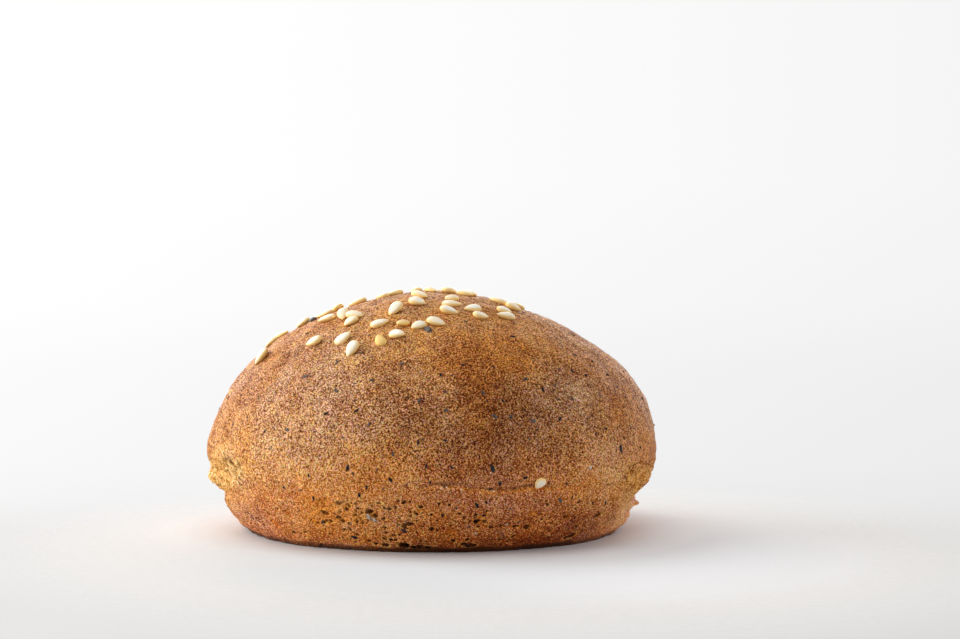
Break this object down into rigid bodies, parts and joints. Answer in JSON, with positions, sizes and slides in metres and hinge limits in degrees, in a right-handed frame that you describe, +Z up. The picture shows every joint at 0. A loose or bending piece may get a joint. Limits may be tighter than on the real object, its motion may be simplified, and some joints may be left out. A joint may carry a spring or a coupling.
{
  "type": "bread roll",
  "caption": "Round domed bread roll on a flat foot, with a crease above its base, torn sides and sesame seeds baked into its crown.",
  "frame": {"origin": "middle of the flat foot, on the surface that the roll rests on", "axes": "+Z up through the crown, -Y towards the front, +X to the right of the front"},
  "size_m": [0.0802, 0.0799, 0.043],
  "materials": {
    "crust": "satin"
  },
  "bodies": {
    "root": {"bread_roll": "crust"}
  },
  "joints": []
}
